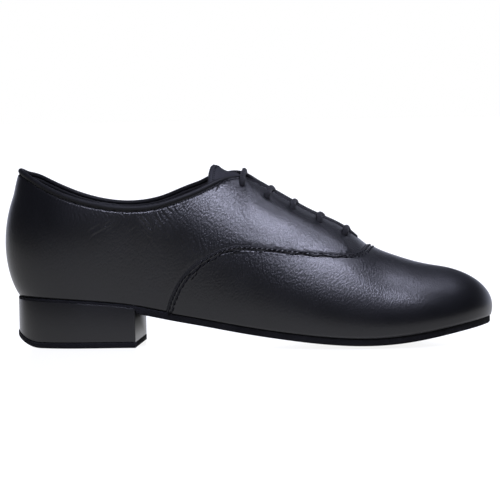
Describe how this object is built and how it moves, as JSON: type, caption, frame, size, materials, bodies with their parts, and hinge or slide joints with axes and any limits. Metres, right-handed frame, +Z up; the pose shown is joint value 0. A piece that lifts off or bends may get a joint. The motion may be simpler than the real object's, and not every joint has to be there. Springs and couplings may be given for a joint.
{
  "type": "ballroom dance shoe",
  "caption": "Laced leather Oxford dance shoe for a man's right foot, with a low block heel, suede sole, hollow upper, tongue and insole.",
  "frame": {"origin": "on the floor, under the middle of the heel, on the flat tread of the heel tip", "axes": "+X to the toe, +Y to the inner (medial) side of the right foot, +Z up"},
  "size_m": [0.291, 0.0987, 0.1063],
  "materials": {
    "black_calf": "satin",
    "heel_leather": "satin",
    "black_suede": "matte suede",
    "lining": "matte",
    "binding": "matte",
    "lace_cord": "matte"
  },
  "bodies": {
    "root": {"outsole": "black_suede", "heel_block": "heel_leather", "heel_tip": "black_suede", "insole": "lining", "upper": "black_calf", "vamp": "black_calf", "tongue": "lining", "collar_binding": "binding", "lace_bar_1": "lace_cord", "lace_bar_2": "lace_cord", "lace_bar_3": "lace_cord", "lace_bar_4": "lace_cord", "lace_bar_5": "lace_cord"}
  },
  "joints": []
}
